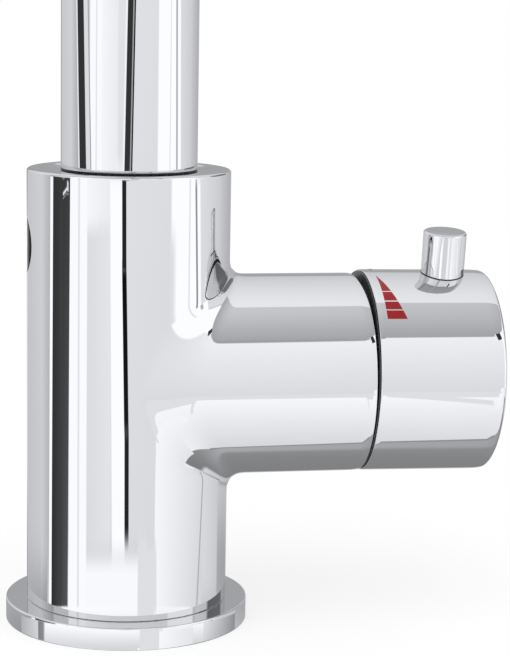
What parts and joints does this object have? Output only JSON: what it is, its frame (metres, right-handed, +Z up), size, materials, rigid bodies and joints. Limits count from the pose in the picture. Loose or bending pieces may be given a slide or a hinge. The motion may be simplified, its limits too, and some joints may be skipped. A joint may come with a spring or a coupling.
{
  "type": "touchless kitchen faucet",
  "caption": "Touchless pull-down kitchen faucet: upright chrome body with a side mixer knob and lever pin, a sensor window, a swivelling gooseneck spout and a pull-out spray head.",
  "frame": {"origin": "on the spout's axis, at the underside of the base plate, where it rests on the worktop", "axes": "+Z up along the spout's axis, -Y the way the spout reaches, towards the user, +X towards the mixer knob"},
  "size_m": [0.1162, 0.2431, 0.515],
  "materials": {
    "polished_chrome": "polished, mirror bright",
    "chromed_plastic": "chrome-plated, mirror bright",
    "raw_brass": "turned brass",
    "steel": "zinc-plated or stainless, satin",
    "black_rubber": "matt rubber",
    "jet_rubber": "soft grey silicone",
    "black_plastic": "moulded, fine matt",
    "white_plastic": "moulded acetal",
    "window_black": "glossy dark lens",
    "sensor_lamp": "dark clear resin",
    "circuit_board": "lacquered board",
    "grey_plastic": "moulded, satin",
    "steel_mesh": "bright steel mesh",
    "woven_hose": "braided nylon",
    "hot_red": "baked enamel",
    "cold_blue": "baked enamel"
  },
  "bodies": {
    "stand": {"base_plate": "polished_chrome", "base_seal": "black_rubber", "body": "polished_chrome", "shank": "raw_brass", "deck_seal": "black_rubber", "clamp_washer": "steel", "clamp_nut": "raw_brass", "clamp_screws": "steel", "glide_ring": "black_plastic", "swivel_bushes": "white_plastic", "swivel_screw": "steel", "sensor_window": "window_black", "sensor_seal": "black_rubber", "sensor_case": "black_plastic", "sensor_board": "circuit_board", "sensor_eyes": "sensor_lamp", "cable_grommet": "black_rubber", "cartridge_housing": "white_plastic", "port_seals": "black_rubber", "cartridge_nut": "raw_brass", "guide_clip": "steel", "gap_sleeve": "black_plastic"},
    "spout": {"spout_tube": "polished_chrome", "spout_foot": "raw_brass", "spout_seals": "black_rubber", "dock_liner": "black_plastic", "dock_magnet": "steel", "hose": "woven_hose", "hose_coupling": "steel"},
    "spray": {"spray_collar": "black_plastic", "catch_ring": "steel", "spray_shell": "polished_chrome", "spray_core": "black_plastic", "face_plate": "grey_plastic", "jet_mat": "jet_rubber", "aerator": "steel_mesh", "hose_nut": "steel", "hose_reach": "woven_hose", "rocker_axle": "steel"},
    "rocker": {"rocker": "chromed_plastic"},
    "mixer_guide": {"turn_guide": "black_plastic"},
    "mixer_knob": {"spool": "raw_brass", "spool_seals": "black_rubber", "knob": "polished_chrome", "lever_pin": "polished_chrome", "knob_screw": "steel", "hot_mark": "hot_red", "cold_mark": "cold_blue"}
  },
  "joints": [
    {"name": "spout_swivel", "type": "hinge", "parent": "stand", "child": "spout", "pos_m": [0, 0, 0.1086], "axis": [0, 0, 1], "range_deg": [-60, 60]},
    {"name": "spray_pull", "type": "slide", "parent": "spout", "child": "spray", "axis": [0, 0, -1], "range_m": [0, 0.42], "deforming": ["hose_reach"]},
    {"name": "spray_rocker", "type": "hinge", "parent": "spray", "child": "rocker", "pos_m": [0, -0.2074, 0.23695], "axis": [1, 0, 0], "range_deg": [-3.5, 3.5]},
    {"name": "knob_turn", "type": "hinge", "parent": "stand", "child": "mixer_guide", "pos_m": [0.05565, 0, 0.0596], "axis": [0.9999, 0, -0.0113], "range_deg": [-45, 45]},
    {"name": "knob_pull", "type": "slide", "parent": "mixer_guide", "child": "mixer_knob", "axis": [0.9999, 0, -0.0113], "range_m": [0, 0.006]}
  ]
}
